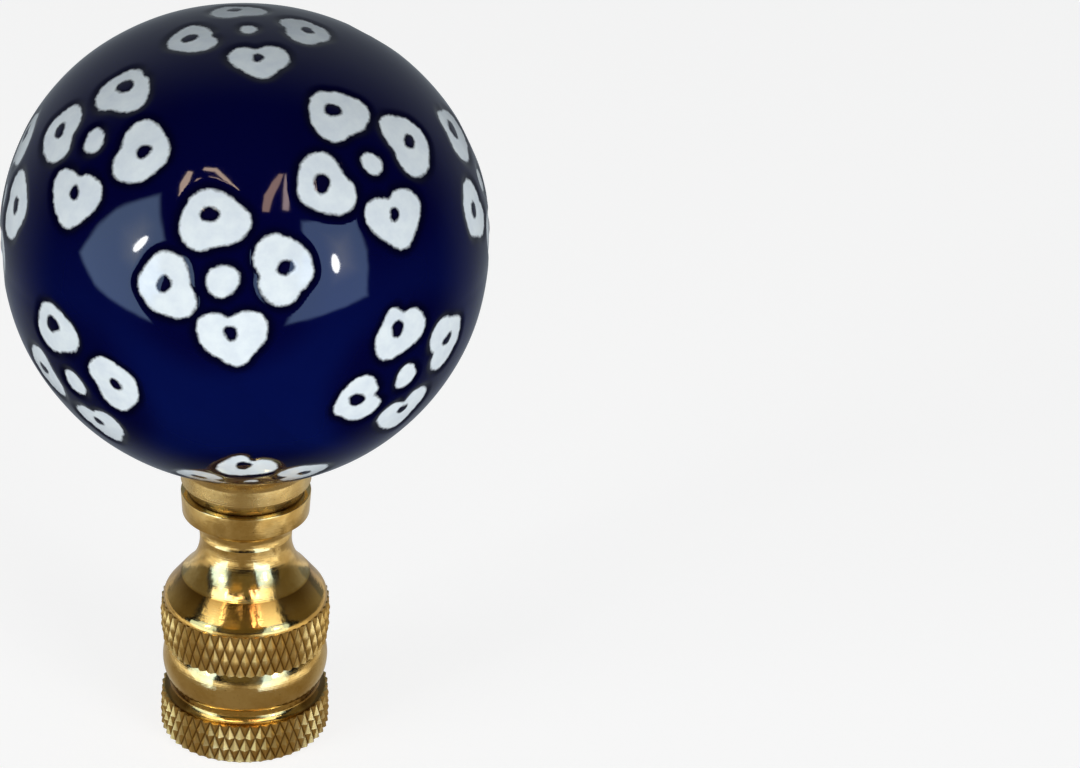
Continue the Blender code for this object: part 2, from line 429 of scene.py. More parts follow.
def cobalt_glaze(settings):
    """Glazed stoneware: white and cobalt bodies fused under a clear glossy glaze.

    The glaze gives sharp mirror-like reflections over deep colour. The white is slightly cloudy, its edge
    is soft for a quarter of a millimetre, and a dark line runs around it where the cobalt pooled.
    """
    made, tree, shader, place = new_material("glazed_cobalt_ceramic")

    # The white's edge, where it bleeds into the ground in grains of 0.5 mm
    grain = noise(tree, place, 0.5 * MM, 3.0, 0.6)
    bleed = calculated(tree, "MULTIPLY_ADD", grain, 0.36, -0.18)
    edge = calculated(tree, "ADD", field(tree, "enamel_mm"), bleed)
    is_white = ranged(tree, edge, 0.12, -0.15, soft=True)

    # The ground is lighter away from the flowers, in clouds of 7 mm
    clouds = noise(tree, place, 7.0 * MM)
    openness = ranged(tree, field(tree, "flower_mm"), 4.6, 7.6, high=0.8, soft=True)
    cloudiness = calculated(tree, "MULTIPLY_ADD", clouds, 0.7, -0.2)
    mottled = calculated(tree, "ADD", openness, cloudiness, use_clamp=True)

    # Painted shade: the ground is darker towards the top
    level = add_node(tree, "ShaderNodeSeparateXYZ", {0: place}).outputs["Z"]
    painted_top_shade = ranged(tree, level, 50.0 * MM, 33.0 * MM, low=0.1, soft=True)
    lightness = calculated(tree, "MULTIPLY", mottled, painted_top_shade)
    ground = mixed(tree, lightness, settings.deep_cobalt, settings.cobalt)

    # The dark line around each petal, and the spot in it
    near_petal = ranged(tree, field(tree, "petal_mm"), 0.1, 0.75, low=0.8, high=0.0, soft=True)
    outlined = mixed(tree, near_petal, ground, settings.outline)
    in_eye = ranged(tree, field(tree, "eye_mm"), -0.12, -0.3, soft=True)
    dark = mixed(tree, in_eye, outlined, settings.eye)

    # Cloudy patches of 1.2 mm in the white
    patches = noise(tree, place, 1.2 * MM, 4.0, 0.6)
    patchiness = ranged(tree, patches, 0.35, 0.75)
    white = mixed(tree, patchiness, settings.white, settings.shaded_white)
    tree.links.new(mixed(tree, is_white, dark, white), shader.inputs["Base Color"])

    # Faint unevenness of the gloss, and ripples of 1.6 mm too low to show but in reflections
    gloss = ranged(tree, noise(tree, place, 3.0 * MM), 0.0, 1.0, 0.03, 0.07)
    tree.links.new(gloss, shader.inputs["Roughness"])
    ripples = noise(tree, place, 1.6 * MM, 1.0)
    tree.links.new(bumped(tree, ripples, 0.35, 0.02 * MM), shader.inputs["Normal"])
    shader.inputs["IOR"].default_value = 1.5
    return made


def turned_brass(name, settings, smooth, rough, marks):
    """Brass turned on a lathe: fine rings run around it, and it is duller where fingers and air reach it.

    The rings stretch and break the edges of reflections, the dull patches cloud them, and the pressed faces
    of the knurl blur them. The shade-and-grime field darkens the bottoms of the knurl and of the thread, and
    paints shade into the groove, the crease, the shoulder and the seat's recess. Smooth and rough are the
    roughness of its clean and of its dull places, and marks is the height of the rings.
    """
    made, tree, shader, place = new_material(name)
    hollow = field(tree, "hollow")

    # Dull patches of 2.5 mm, and the tarnish colour where the shade-and-grime field is high, as painted
    # shade
    clouds = noise(tree, place, 2.5 * MM, 4.0, 0.62)
    dullness = ranged(tree, clouds, 0.38, 0.68)
    dulled_and_shaded = calculated(tree, "MULTIPLY_ADD", hollow, 1.4, dullness, use_clamp=True)
    worn_and_shaded = mixed(tree, dulled_and_shaded, settings.brass, settings.tarnish_and_shade_colour)

    # Specks of 0.12 mm, and the grime colour where the shade-and-grime field is high: painted shade in the
    # groove, the crease and the seat's recess
    specks = noise(tree, place, 0.12 * MM, 1.0)
    speck = ranged(tree, specks, 0.70, 0.76, high=0.6)
    speckled = mixed(tree, speck, worn_and_shaded, settings.grime_and_shade_colour)
    # Painted shade: the darkest places of the shade-and-grime field take the grime colour
    grime_and_shade_share = ranged(tree, hollow, 0.7, 1.0, high=0.8, soft=True)
    tree.links.new(mixed(tree, grime_and_shade_share, speckled, settings.grime_and_shade_colour), shader.inputs["Base Color"])

    shine = ranged(tree, dullness, 0.0, 1.0, smooth, rough)
    roughness = ranged(tree, field(tree, "knurled"), 0.0, 1.0, shine, KNURL_ROUGHNESS)
    tree.links.new(roughness, shader.inputs["Roughness"])

    # Rings of the turning tool, 0.09 mm apart, slightly uneven, and soft lumps of 0.7 mm from polishing
    height = add_node(tree, "ShaderNodeSeparateXYZ", {0: place}).outputs["Z"]
    level = calculated(tree, "MULTIPLY", height, 1.0 / (0.09 * MM))
    rings = add_node(tree, "ShaderNodeTexNoise", {"W": level, "Scale": 1.0, "Detail": 2.0},
                     noise_dimensions="1D").outputs["Fac"]
    ringed = bumped(tree, rings, 1.0, marks)
    lumps = noise(tree, place, 0.7 * MM)
    tree.links.new(bumped(tree, lumps, 1.0, 0.02 * MM, Normal=ringed), shader.inputs["Normal"])
    shader.inputs["Metallic"].default_value = 1.0
    return made


def smooth_step(value, start, end):
    """0 before start and 1 after end, with a soft change between them. Start may be the larger."""
    share = np.clip((value - start) / (end - start), 0.0, 1.0)
    return share * share * (3.0 - 2.0 * share)


def ball_radius(polar):
    """Distance from the ball's centre to its surface, at angles from the top of its axis."""
    greatest = 2.0 / (3.0 * math.sqrt(3.0))
    upper = np.clip(np.cos(polar), 0.0, None)
    swell = BALL_FULLNESS * np.sin(polar) ** 2 * upper / greatest
    return BALL_RADIUS + swell - BALL_TAPER * smooth_step(polar, BALL_TAPER_START, BALL_TAPER_END)


def direction(azimuth, elevation):
    """Unit vector for an azimuth counted from -Y towards +X and an elevation, both in degrees."""
    around = math.radians(azimuth)
    up = math.radians(elevation)
    return np.array([math.cos(up) * math.sin(around), -math.cos(up) * math.cos(around), math.sin(up)])


def gap_between(angle, turn):
    """Signed angle from a turn in degrees to angles in radians."""
    return (angle - math.radians(turn) + math.pi) % math.tau - math.pi


def petal_reach(petal, flower, angle, phases):
    """Distance from a petal's middle to its outline at each angle."""
    shape = 1.0 + petal.oval * np.cos(2.0 * (angle - math.radians(petal.oval_turn)))
    shape += petal.corners * np.cos(3.0 * (angle - math.radians(petal.corners_turn)))
    wobble = 0.014
    for lobes, phase in enumerate(phases, start=4):
        shape += wobble * np.cos(lobes * angle + phase)
    notch_width = 0.30
    cut = petal.notch * flower.cleft
    return petal.size * shape - cut * np.exp(-(gap_between(angle, petal.notch_turn) / notch_width) ** 2)


def outline_distance(across, up, reach):
    """Signed distance to an outline given by its reach at each angle, negative inside."""
    angle = np.arctan2(up, across)
    step = 0.02
    slope = (reach(angle + step) - reach(angle - step)) / (2.0 * step)
    here = reach(angle)
    return (np.hypot(across, up) - here) / np.sqrt(1.0 + (slope / here) ** 2)


def keep_nearest(known, near, distance):
    known[near] = np.minimum(known[near], distance)


def flower_fields(normals, settings):
    """Distances over the ball, in metres: to the white, to a petal's outline, to an eye and to a flower."""
    fields = {name: np.full(len(normals), OUTLINE_REACH) for name in ("enamel", "petal", "eye")}
    fields["flower"] = np.full(len(normals), FLOWER_REACH)
    random = np.random.default_rng(SEED)
    for flower in FLOWERS:
        middle = direction(flower.azimuth, flower.elevation)
        east = np.cross((0.0, 0.0, 1.0), middle)
        east /= np.linalg.norm(east)
        north = np.cross(middle, east)
        cosine = normals @ middle
        near = np.flatnonzero(cosine > math.cos(FLOWER_REACH / BALL_RADIUS))
        arc_length = np.arccos(np.clip(cosine[near], -1.0, 1.0)) * BALL_RADIUS
        bearing = np.arctan2(normals[near] @ north, normals[near] @ east) - math.radians(flower.turn)
        across = arc_length * np.cos(bearing)
        up = arc_length * np.sin(bearing)
        keep_nearest(fields["flower"], near, arc_length)

        phases = random.uniform(0.0, math.tau, 3)
        dot = outline_distance(across, up, lambda a: flower.dot * (
            1.0 + 0.07 * np.cos(2.0 * a + phases[0]) + 0.04 * np.cos(3.0 * a + phases[1])))
        keep_nearest(fields["enamel"], near, dot)
        keep_nearest(fields["petal"], near, dot)

        for petal in PETALS:
            phases = random.uniform(0.0, math.tau, 3)
            size = settings.petal_scale * flower.scale * random.uniform(0.98, 1.02)
            shift = random.normal(0.0, 0.05 * MM, 2)
            aim = math.radians(petal.bearing)
            reach_out = petal.distance * flower.spread
            x = (across - reach_out * math.cos(aim) - shift[0]) / size
            y = (up - reach_out * math.sin(aim) - shift[1]) / size
            outline = size * outline_distance(x, y, lambda a: petal_reach(petal, flower, a, phases))
            eye_size = petal.eye * random.uniform(0.9, 1.1)
            eye_turn = random.uniform(0.0, math.pi)
            eye = outline_distance(x - petal.eye_across, y - petal.eye_up, lambda a: eye_size * (
                1.0 + 0.13 * np.cos(2.0 * (a - eye_turn)) + 0.05 * np.cos(3.0 * a + phases[0])))
            keep_nearest(fields["enamel"], near, np.maximum(outline, -eye))
            keep_nearest(fields["petal"], near, outline)
            keep_nearest(fields["eye"], near, eye)
    return fields


def slow_waves(normals, height):
    """Low waves, 5 to 9 mm long, as melted glaze keeps them."""
    random = np.random.default_rng(SEED + 1)
    total = np.zeros(len(normals))
    count = 14
    for _ in range(count):
        way = random.normal(size=3)
        way /= np.linalg.norm(way)
        length = random.uniform(5.0, 9.0) * MM
        total += np.sin(normals @ way * BALL_RADIUS * math.tau / length + random.uniform(0.0, math.tau))
    return total * height / math.sqrt(count)


def new_object(name, data):
    """An object of a mesh, a camera or a light, in the scene."""
    made = bpy.data.objects.new(name, data)
    bpy.context.scene.collection.objects.link(made)
    return made


def finish_object(name, mesh, material, node):
    """Make the object of a finished mesh, which stands for a solid and takes a slot's finish."""
    mesh.materials.append(material)
    made = new_object(name, mesh)
    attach(made, "root")
    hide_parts(node)


def store_field(mesh, name, values):
    """Keep one number for each vertex, which a material reads by name."""
    stored = mesh.attributes.new(name, "FLOAT", "POINT")
    stored.data.foreach_set("value", np.asarray(values, np.float32))


def ball_mesh(settings):
    """The ball: a finely cut cube blown up to the ball's form, with the petals sunk into the glaze."""
    bm = bmesh.new()
    bmesh.ops.create_cube(bm, size=2.0)
    bmesh.ops.subdivide_edges(bm, edges=bm.edges[:], cuts=BALL_CUTS, use_grid_fill=True)
    mesh = bpy.data.meshes.new("glazed_ball")
    bm.to_mesh(mesh)
    bm.free()
    places = np.empty(len(mesh.vertices) * 3)
    mesh.vertices.foreach_get("co", places)

    # The tangent spaces the cuts evenly over the ball
    normals = np.tan(places.reshape(-1, 3) * math.pi / 4.0)
    normals /= np.linalg.norm(normals, axis=1)[:, None]
    fields = flower_fields(normals, settings)
    polar = np.arccos(np.clip(normals[:, 2], -1.0, 1.0))
    radius = ball_radius(polar) - GLAZE_INSET + slow_waves(normals, settings.wave_height)
    pit = smooth_step(fields["petal"], settings.pit_wall, -0.05 * MM)
    raised_eye = smooth_step(fields["eye"], 0.15 * MM, -0.25 * MM)
    radius -= settings.pit_depth * (pit - 0.5 * raised_eye)
    places = normals * radius[:, None]
    places[:, 2] += BALL_LEVEL
    mesh.vertices.foreach_set("co", places.ravel())
    for name, values in fields.items():
        store_field(mesh, f"{name}_mm", np.clip(values, -OUTLINE_REACH, FLOWER_REACH) / MM)
    mesh.shade_smooth()
    mesh.update()
    return mesh


class Ring(NamedTuple):
    """One ring of a turned mesh: the radius at each place around it, its level and how much grime and
    painted shade darken it.

    Knurled is 1 on a knurled band, whose pressed faces are duller than the turned ones.
    """

    radii: np.ndarray
    levels: np.ndarray
    hollow: np.ndarray
    knurled: float = 0.0


def plain_ring(radius, level, count, hollow=0.0):
    return Ring(np.full(count, radius), np.full(count, level), np.full(count, hollow))


def arc(start, end, bulge, steps):
    """Points of a profile after start, up to and with end, on an arc that bulges by the given height.

    A profile runs up the outside, so a positive bulge swells the piece and a negative one hollows it.
    """
    along = (end[0] - start[0], end[1] - start[1])
    chord = math.hypot(*along)
    outward = (along[1] / chord, -along[0] / chord)
    half_turn = 2.0 * math.atan2(2.0 * abs(bulge), chord)
    radius = chord / (2.0 * math.sin(half_turn))
    side = math.copysign(1.0, bulge)
    points = []
    for step in range(1, steps + 1):
        angle = half_turn * (2.0 * step / steps - 1.0)
        forward = 0.5 + math.sin(angle) * radius / chord
        lift = side * radius * (math.cos(angle) - math.cos(half_turn))
        points.append((start[0] + along[0] * forward + outward[0] * lift,
                       start[1] + along[1] * forward + outward[1] * lift))
    return points


def softened(profile, radius, steps=4):
    """The profile with each sharp corner rounded by about the given radius."""
    sharp = math.radians(7)
    points = [profile[0]]
    for before, here, after in zip(profile, profile[1:], profile[2:]):
        arriving = Vector(here) - Vector(before)
        leaving = Vector(after) - Vector(here)
        turn = arriving.angle(leaving)
        if turn < sharp:
            points.append(here)
            continue
        cut = min(radius * math.tan(turn / 2.0), 0.4 * arriving.length, 0.4 * leaving.length)
        first = Vector(here) - arriving.normalized() * cut
        last = Vector(here) + leaving.normalized() * cut
        for step in range(steps + 1):
            share = step / steps
            point = first.lerp(Vector(here), share).lerp(Vector(here).lerp(last, share), share)
            points.append(tuple(point))
    points.append(profile[-1])
    return points


def turned_mesh(name, rings, start, end):
    """A closed mesh from rings of equally many places, with a point on the axis at either end."""
    count = len(rings[0].radii)
    around = np.arange(count) * math.tau / count
    places = []
    for ring in rings:
        circle = [ring.radii * np.cos(around), ring.radii * np.sin(around), ring.levels]
        places.append(np.stack(circle, axis=1))
    places.append(np.array([(0.0, 0.0, start), (0.0, 0.0, end)]))
    faces = []
    column = np.arange(count)
    following = (column + 1) % count
    for row, (ring, above) in enumerate(zip(rings, rings[1:])):
        a, b = row * count + column, row * count + following
        d, c = a + count, b + count
        along_ac = ring.radii + above.radii[following] <= ring.radii[following] + above.radii
        for corners in np.stack([a, b, c, d], axis=1)[along_ac]:
            faces.extend([corners[[0, 1, 2]], corners[[0, 2, 3]]])
        for corners in np.stack([a, b, c, d], axis=1)[~along_ac]:
            faces.extend([corners[[0, 1, 3]], corners[[1, 2, 3]]])
    start_point = len(rings) * count
    last_row = (len(rings) - 1) * count
    for place in range(count):
        faces.append((start_point, following[place], place))
        faces.append((start_point + 1, last_row + place, last_row + following[place]))
    mesh = bpy.data.meshes.new(name)
    mesh.from_pydata(np.concatenate(places).tolist(), [], np.array(faces).tolist())
    ends = [np.zeros(2)]
    store_field(mesh, "hollow", np.concatenate([ring.hollow for ring in rings] + ends))
    store_field(mesh, "knurled", np.concatenate([np.full(count, ring.knurled) for ring in rings] + ends))
    mesh.shade_smooth()
    mesh.set_sharp_from_angle(angle=math.radians(24))
    mesh.update()
    return mesh


def zigzag(value):
    """0 at whole numbers and 1 halfway between them."""
    return 1.0 - np.abs(2.0 * (value % 1.0) - 1.0)


def knurl_rings(level, height, foot_radius, top_radius, bulge, settings):
    """Rings of a knurled band: rows of four-sided points between two families of slanting valleys."""
    count = settings.diamonds * STEPS_PER_DIAMOND
    rows = round(height / KNURL_ROW) * STEPS_PER_DIAMOND // 2
    foot = (foot_radius, level)
    crests = [foot] + arc(foot, (top_radius, level + height), bulge, rows)
    across = np.arange(count) / STEPS_PER_DIAMOND
    rings = []
    for row, (crest, ring_level) in enumerate(crests):
        rise = row / STEPS_PER_DIAMOND
        point = np.minimum(zigzag(across + rise + 0.5), zigzag(across - rise + 0.5))
        radii = crest - settings.knurl_depth * (1.0 - point)
        if row in (0, rows):
            radii = np.minimum(radii, crest - settings.knurl_edge)
        # The knurl's valleys are marked darker in the shade-and-grime field
        rings.append(Ring(radii, np.full(count, ring_level), 1.0 - point, 1.0))
    return rings


def thread_rings(settings, count):
    """Rings of the internal thread, from the top of the bore down to its mouth."""
    around = np.arange(count) / count
    top = BORE_DEPTH
    foot = BORE_MOUTH_CHAMFER
    rows = round((top - foot) / settings.thread_pitch * ROWS_PER_THREAD)
    rings = []
    for row in range(rows + 1):
        level = top + (foot - top) * row / rows
        ridge = zigzag(level / settings.thread_pitch - around)
        fade_above = (top - level) / settings.thread_pitch
        fade_below = (level - foot) / (0.3 * settings.thread_pitch)
        radii = BORE_RADIUS - settings.thread_depth * ridge * min(1.0, fade_above, fade_below)
        # The thread's roots are marked darker in the shade-and-grime field
        rings.append(Ring(radii, np.full(count, level), 0.8 - 0.6 * ridge))
    return rings


def base_mesh(settings):
    """The base: up into the threaded bore, out over the foot, up the outside and in over the top."""
    count = settings.diamonds * STEPS_PER_DIAMOND
    lower_knurl = knurl_rings(FOOT_CHAMFER, LOWER_KNURL_HEIGHT, LOWER_KNURL_FOOT_RADIUS,
                              LOWER_KNURL_TOP_RADIUS, LOWER_KNURL_BULGE, settings)
    upper_knurl = knurl_rings(UPPER_KNURL_LEVEL, UPPER_KNURL_HEIGHT, UPPER_KNURL_FOOT_RADIUS,
                              UPPER_KNURL_TOP_RADIUS, UPPER_KNURL_BULGE, settings)
    ring_foot = (POLISHED_RING_EDGE_RADIUS, POLISHED_RING_LEVEL)
    ring_top = (POLISHED_RING_EDGE_RADIUS, UPPER_KNURL_LEVEL)
    ledge_edge = (LOWER_KNURL_TOP_RADIUS - LEDGE_INSET, GROOVE_LEVEL + LEDGE_RISE)
    fillet_foot = (GROOVE_RADIUS + GROOVE_FILLET, GROOVE_LEVEL + LEDGE_RISE)
    fillet_top = (GROOVE_RADIUS, GROOVE_LEVEL + GROOVE_FILLET)
    middle = softened([
        ledge_edge,
        fillet_foot,
        *arc(fillet_foot, fillet_top, -0.2 * GROOVE_FILLET, 10),
        (GROOVE_RADIUS, POLISHED_RING_LEVEL),
        ring_foot,
        *arc(ring_foot, ring_top, POLISHED_RING_BULGE, 22),
    ], GROOVE_ROUNDING)
    shoulder = (SHOULDER_RADIUS, SHOULDER_LEVEL)
    shoulder_turn = (SHOULDER_TURN_RADIUS, SHOULDER_LEVEL + SHOULDER_TURN_HEIGHT)
    crease = (CREASE_RADIUS, CREASE_LEVEL)
    neck = (NECK_RADIUS, NECK_LEVEL)
    cove = (COVE_RADIUS, FLANGE_LEVEL)
    bell = softened([
        shoulder,
        *arc(shoulder, shoulder_turn, SHOULDER_BULGE, 8),
        crease,
        *arc(crease, neck, -BELL_HOLLOW, 18),
        *arc(neck, cove, -COVE_HOLLOW, 18),
        (FLANGE_FOOT_RADIUS, FLANGE_LEVEL),
        (FLANGE_TOP_RADIUS, BASE_TOP),
        (0.3 * FLANGE_TOP_RADIUS, BASE_TOP),
    ], BELL_ROUNDING)
    foot = [
        (BORE_RADIUS + BORE_MOUTH_CHAMFER, 0.0),
        (FOOT_RADIUS, 0.0),
    ]
    rings = thread_rings(settings, count)
    rings += [plain_ring(radius, level, count) for radius, level in foot]
    rings += lower_knurl

    # Painted shade darkens the groove, less at its front, which is painted lighter as if lit
    towards_front = -np.sin(np.arange(count) * math.tau / count)
    front_lit = smooth_step(towards_front, *np.cos(np.radians((FRONT_LIT_NO_MORE, FRONT_LIT_FULLY))))
    for radius, level in middle:
        ring = plain_ring(radius, level, count)
        if level < POLISHED_RING_LEVEL + 0.05 * MM:
            front_light = FRONT_LIT_LEDGE if radius > fillet_foot[0] else FRONT_LIT_WALL
            ring = ring._replace(hollow=GROOVE_SHADE - front_light * front_lit)
        rings.append(ring)
    rings += upper_knurl

    # Painted shade darkens the shoulder below the bell, and a line of painted shade marks the crease between
    # them
    for radius, level in bell:
        painted_shade = SHOULDER_SHADE if level < CREASE_LEVEL else 0.0
        if abs(level - CREASE_LEVEL) < CREASE_LINE:
            painted_shade = CREASE_SHADE
        rings.append(plain_ring(radius, level, count, painted_shade))
    return turned_mesh("turned_base", rings, BORE_DEPTH + BORE_POINT_HEIGHT, BASE_TOP)


def seat_mesh():
    """The seat: its foot on the base, the neck, the band, the flare out to the rim, and the dish."""
    neck_top = SEAT_FOOT + SEAT_NECK_HEIGHT
    band_top = (SEAT_BAND_RADIUS, neck_top + SEAT_BAND_HEIGHT)
    rim_polar = math.pi - math.asin(SEAT_RIM_RADIUS / (BALL_RADIUS - BALL_TAPER + TOUCH))
    dish = []
    steps = 12
    for step in range(steps):
        polar = rim_polar + (math.pi - rim_polar) * step / steps
        radius = float(ball_radius(polar)) + TOUCH - GLAZE_INSET
        dish.append((radius * math.sin(polar), BALL_LEVEL + radius * math.cos(polar)))
    rim_foot = (dish[0][0], dish[0][1] - SEAT_RIM_THICKNESS)
    profile = softened([
        (0.2 * SEAT_NECK_FOOT_RADIUS, BASE_TOP + TOUCH),
        (SEAT_NECK_FOOT_RADIUS, BASE_TOP + TOUCH),
        (SEAT_NECK_TOP_RADIUS, neck_top),
        (SEAT_BAND_RADIUS, neck_top),
        band_top,
        *arc(band_top, rim_foot, -SEAT_FLARE_HOLLOW, 10),
        *dish,
    ], SEAT_ROUNDING)
    rings = []
    for radius, level in profile:
        # Painted shade darkens the recess under the band
        painted_shade = SEAT_NECK_SHADE if level < neck_top - 0.05 * MM else 0.0
        rings.append(plain_ring(radius, level, SEAT_STEPS, painted_shade))
    return turned_mesh("turned_seat", rings, BASE_TOP + TOUCH, BALL_FOOT - TOUCH + GLAZE_INSET)


# Camera: its place, and how far it looks down, to the right and leans, in degrees. It was solved outside
# this script from where the photograph shows the base and the ball
CAMERA_DISTANCE = 172.32 * MM
CAMERA_HEIGHT = 116.23 * MM
CAMERA_PITCH = 26.98
CAMERA_YAW = 6.20
CAMERA_ROLL = 0.28


def add_camera(settings):
    """The camera of the photograph's view, with the finial at the left of the frame."""
    data = bpy.data.cameras.new("camera")
    data.lens = settings.lens
    data.sensor_width = 36.0
    data.clip_start = 0.01
    made = new_object("camera", data)
    turn = (Matrix.Rotation(math.radians(90.0 - CAMERA_PITCH), 4, "X")
            @ Matrix.Rotation(math.radians(-CAMERA_YAW), 4, "Y")
            @ Matrix.Rotation(math.radians(CAMERA_ROLL), 4, "Z"))
    made.matrix_world = Matrix.Translation((0.0, -CAMERA_DISTANCE, CAMERA_HEIGHT)) @ turn
    bpy.context.scene.camera = made


def add_light(name, azimuth, elevation, distance, width, height, lean, glow, colour, shape="RECTANGLE"):
    """A flat light that faces the ball from a direction, and glows with the given radiance."""
    data = bpy.data.lights.new(name, "AREA")
    data.shape = shape
    data.size = width
    data.size_y = height
    area = width * height * (math.pi / 4.0 if shape == "ELLIPSE" else 1.0)
    data.energy = glow * math.pi * area
    data.color = colour
    made = new_object(name, data)
    away = Vector(direction(azimuth, elevation))
    place = Vector((0.0, 0.0, BALL_LEVEL)) + away * distance
    turn = away.to_track_quat("Z", "Y").to_matrix().to_4x4()
    made.matrix_world = Matrix.Translation(place) @ turn @ Matrix.Rotation(math.radians(lean), 4, "Z")
    made.visible_camera = False
    return made


def flat_square(name, half, level, material):
    """A level square around the axis, as part of the stage."""
    corners = [(-half, -half, level), (half, -half, level), (half, half, level), (-half, half, level)]
    mesh = bpy.data.meshes.new(name)
    mesh.from_pydata(corners, [], [(0, 1, 2, 3)])
    mesh.materials.append(material)
    made = new_object(name, mesh)
    return made


def add_table_light(name, azimuth, reach, width, length, glow, colour):
    """A light that lies on the table, with its middle at a distance from the axis, and faces up."""
    made = add_light(name, 0.0, 90.0, 0.1, width, length, 0.0, glow, colour)
    away = Vector(direction(azimuth, 0.0))
    place = away * reach + Vector((0.0, 0.0, 0.05 * MM))
    turn = Matrix.Rotation(math.atan2(away.y, away.x) - math.pi / 2.0, 4, "Z")
    made.matrix_world = Matrix.Translation(place) @ turn @ Matrix.Rotation(math.pi, 4, "Y")
    return made


def add_lights(settings):
    """Two large softboxes with the bulb behind each, a weak fill, and what only the brass reflects."""
    for made in (
        add_light("softbox_left", -60.0, 13.0, 0.5, 0.30, 0.34, 45.0, settings.left_glow, (1.0, 1.0, 1.0)),
        add_light("softbox_right", 40.0, 10.0, 0.5, 0.26, 0.36, -8.0, settings.right_glow, (1.0, 1.0, 1.0)),
        add_light("fill", -10.0, 14.0, 0.6, 0.4, 0.3, 0.0, settings.fill_glow, (0.97, 0.99, 1.0)),
    ):
        made.visible_glossy = False
    bulb = {"glow": 26.0, "colour": (1.0, 1.0, 0.97), "shape": "ELLIPSE"}
    add_light("bulb_left", -51.3, 15.2, 1.5, 0.075, 0.27, -30.0, **bulb)
    add_light("bulb_right", 41.6, 10.5, 1.5, 0.105, 0.26, 0.0, **bulb)

    brass = bpy.data.collections.new("brass")
    for name in ("turned_base", "turned_seat"):
        if name in bpy.data.objects:
            brass.objects.link(bpy.data.objects[name])
    for made in (
        add_table_light("table", 0.0, 0.0, 0.30, 0.30, 1.0, (0.27, 0.205, 0.115)),
        add_table_light("table_left", -90.0, 0.09, 0.28, 0.12, 1.0, (0.36, 0.33, 0.27)),
        add_table_light("table_right", 90.0, 0.09, 0.28, 0.12, 1.0, (0.36, 0.33, 0.27)),
        add_table_light("patch_left", -62.0, 0.036, 0.052, 0.028, 1.0, (0.30, 0.29, 0.25)),
        add_table_light("patch_right", 54.0, 0.036, 0.040, 0.028, 1.0, (0.62, 0.57, 0.48)),
        add_table_light("pool_left", -60.0, 0.105, 0.085, 0.13, 0.75, (1.0, 0.98, 0.85)),
        add_table_light("pool_right", 42.0, 0.105, 0.08, 0.13, 0.75, (1.0, 0.98, 0.85)),
        add_light("upper_left", -55.0, 48.0, 1.0, 0.50, 0.56, 0.0, 2.2, (1.0, 0.98, 0.9)),
        add_light("upper_right", 42.0, 46.0, 1.0, 0.40, 0.56, 0.0, 2.2, (1.0, 0.98, 0.9)),
        add_light("amber_left", -20.0, 32.0, 1.0, 0.30, 0.26, 0.0, 0.4, (1.0, 0.58, 0.12)),
        add_light("amber_right", 18.0, 32.0, 1.0, 0.16, 0.26, 0.0, 0.4, (1.0, 0.58, 0.12)),
        add_light("room_left", -20.5, 60.0, 1.0, 0.26, 0.30, 0.0, 1.5, (1.0, 0.84, 0.50)),
        add_light("room_right", 21.0, 60.0, 1.0, 0.18, 0.30, 0.0, 1.5, (1.0, 0.84, 0.50)),
        add_light("room_front", -6.0, 26.0, 1.0, 1.0, 0.9, 0.0, 0.14, (1.0, 0.78, 0.32)),
        add_light("room_far_left", -112.0, 25.0, 1.0, 1.0, 1.1, 0.0, 0.14, (1.0, 0.78, 0.36)),
        add_light("room_far_right", 102.0, 25.0, 1.0, 1.1, 1.1, 0.0, 0.14, (1.0, 0.78, 0.36)),
    ):
        made.light_linking.receiver_collection = brass


def pale_floor(settings):
    """Matt painted board: plain and pale, with only a soft shadow on it."""
    made, tree, shader, place = new_material("matt_painted_board")
    grain = noise(tree, place, 2.0 * MM)
    tree.links.new(bumped(tree, grain, 0.2, 0.02 * MM), shader.inputs["Normal"])
    shader.inputs["Base Color"].default_value = opaque(settings.floor_colour)
    shader.inputs["Roughness"].default_value = 0.8
    shader.inputs["Specular IOR Level"].default_value = 0.1

    # A share of it glows, so that it stays pale under weak light
    path = add_node(tree, "ShaderNodeLightPath")
    bounced = calculated(tree, "MULTIPLY", path.outputs["Is Diffuse Ray"], 0.47)
    share = calculated(tree, "MULTIPLY_ADD", path.outputs["Is Camera Ray"], 0.65, bounced)
    glow = add_node(tree, "ShaderNodeEmission", {"Color": (1.24, 1.24, 1.24, 1.0)}).outputs[0]
    both = add_node(tree, "ShaderNodeMixShader", {0: share, 1: shader.outputs[0], 2: glow}).outputs[0]
    tree.links.new(both, tree.nodes["Material Output"].inputs["Surface"])
    return made


def add_floor(settings):
    """The plane that the finial stands on. Reflections show the surroundings in its place."""
    floor = flat_square("floor", half=3.0, level=0.0, material=pale_floor(settings))
    floor.visible_glossy = False


class Panel(NamedTuple):
    """A bright shape in the surroundings, by the azimuth and elevation of its corners."""

    corners: tuple
    softness: float
    colour: tuple


# Radiance of the softboxes' cloth, of its middle before each bulb, and of the warm streaks between them
LEFT_CLOTH = (1.25, 1.85, 2.9)
LEFT_MIDDLE = (2.9, 3.3, 3.6)
RIGHT_CLOTH = (1.1, 1.65, 2.8)
RIGHT_MIDDLE = (3.0, 3.3, 3.7)
BRIGHT_STREAK = (9.0, 6.6, 4.8)
DIM_STREAK = (6.5, 4.6, 3.6)
STREAK_END = (6.0, 4.2, 3.2)
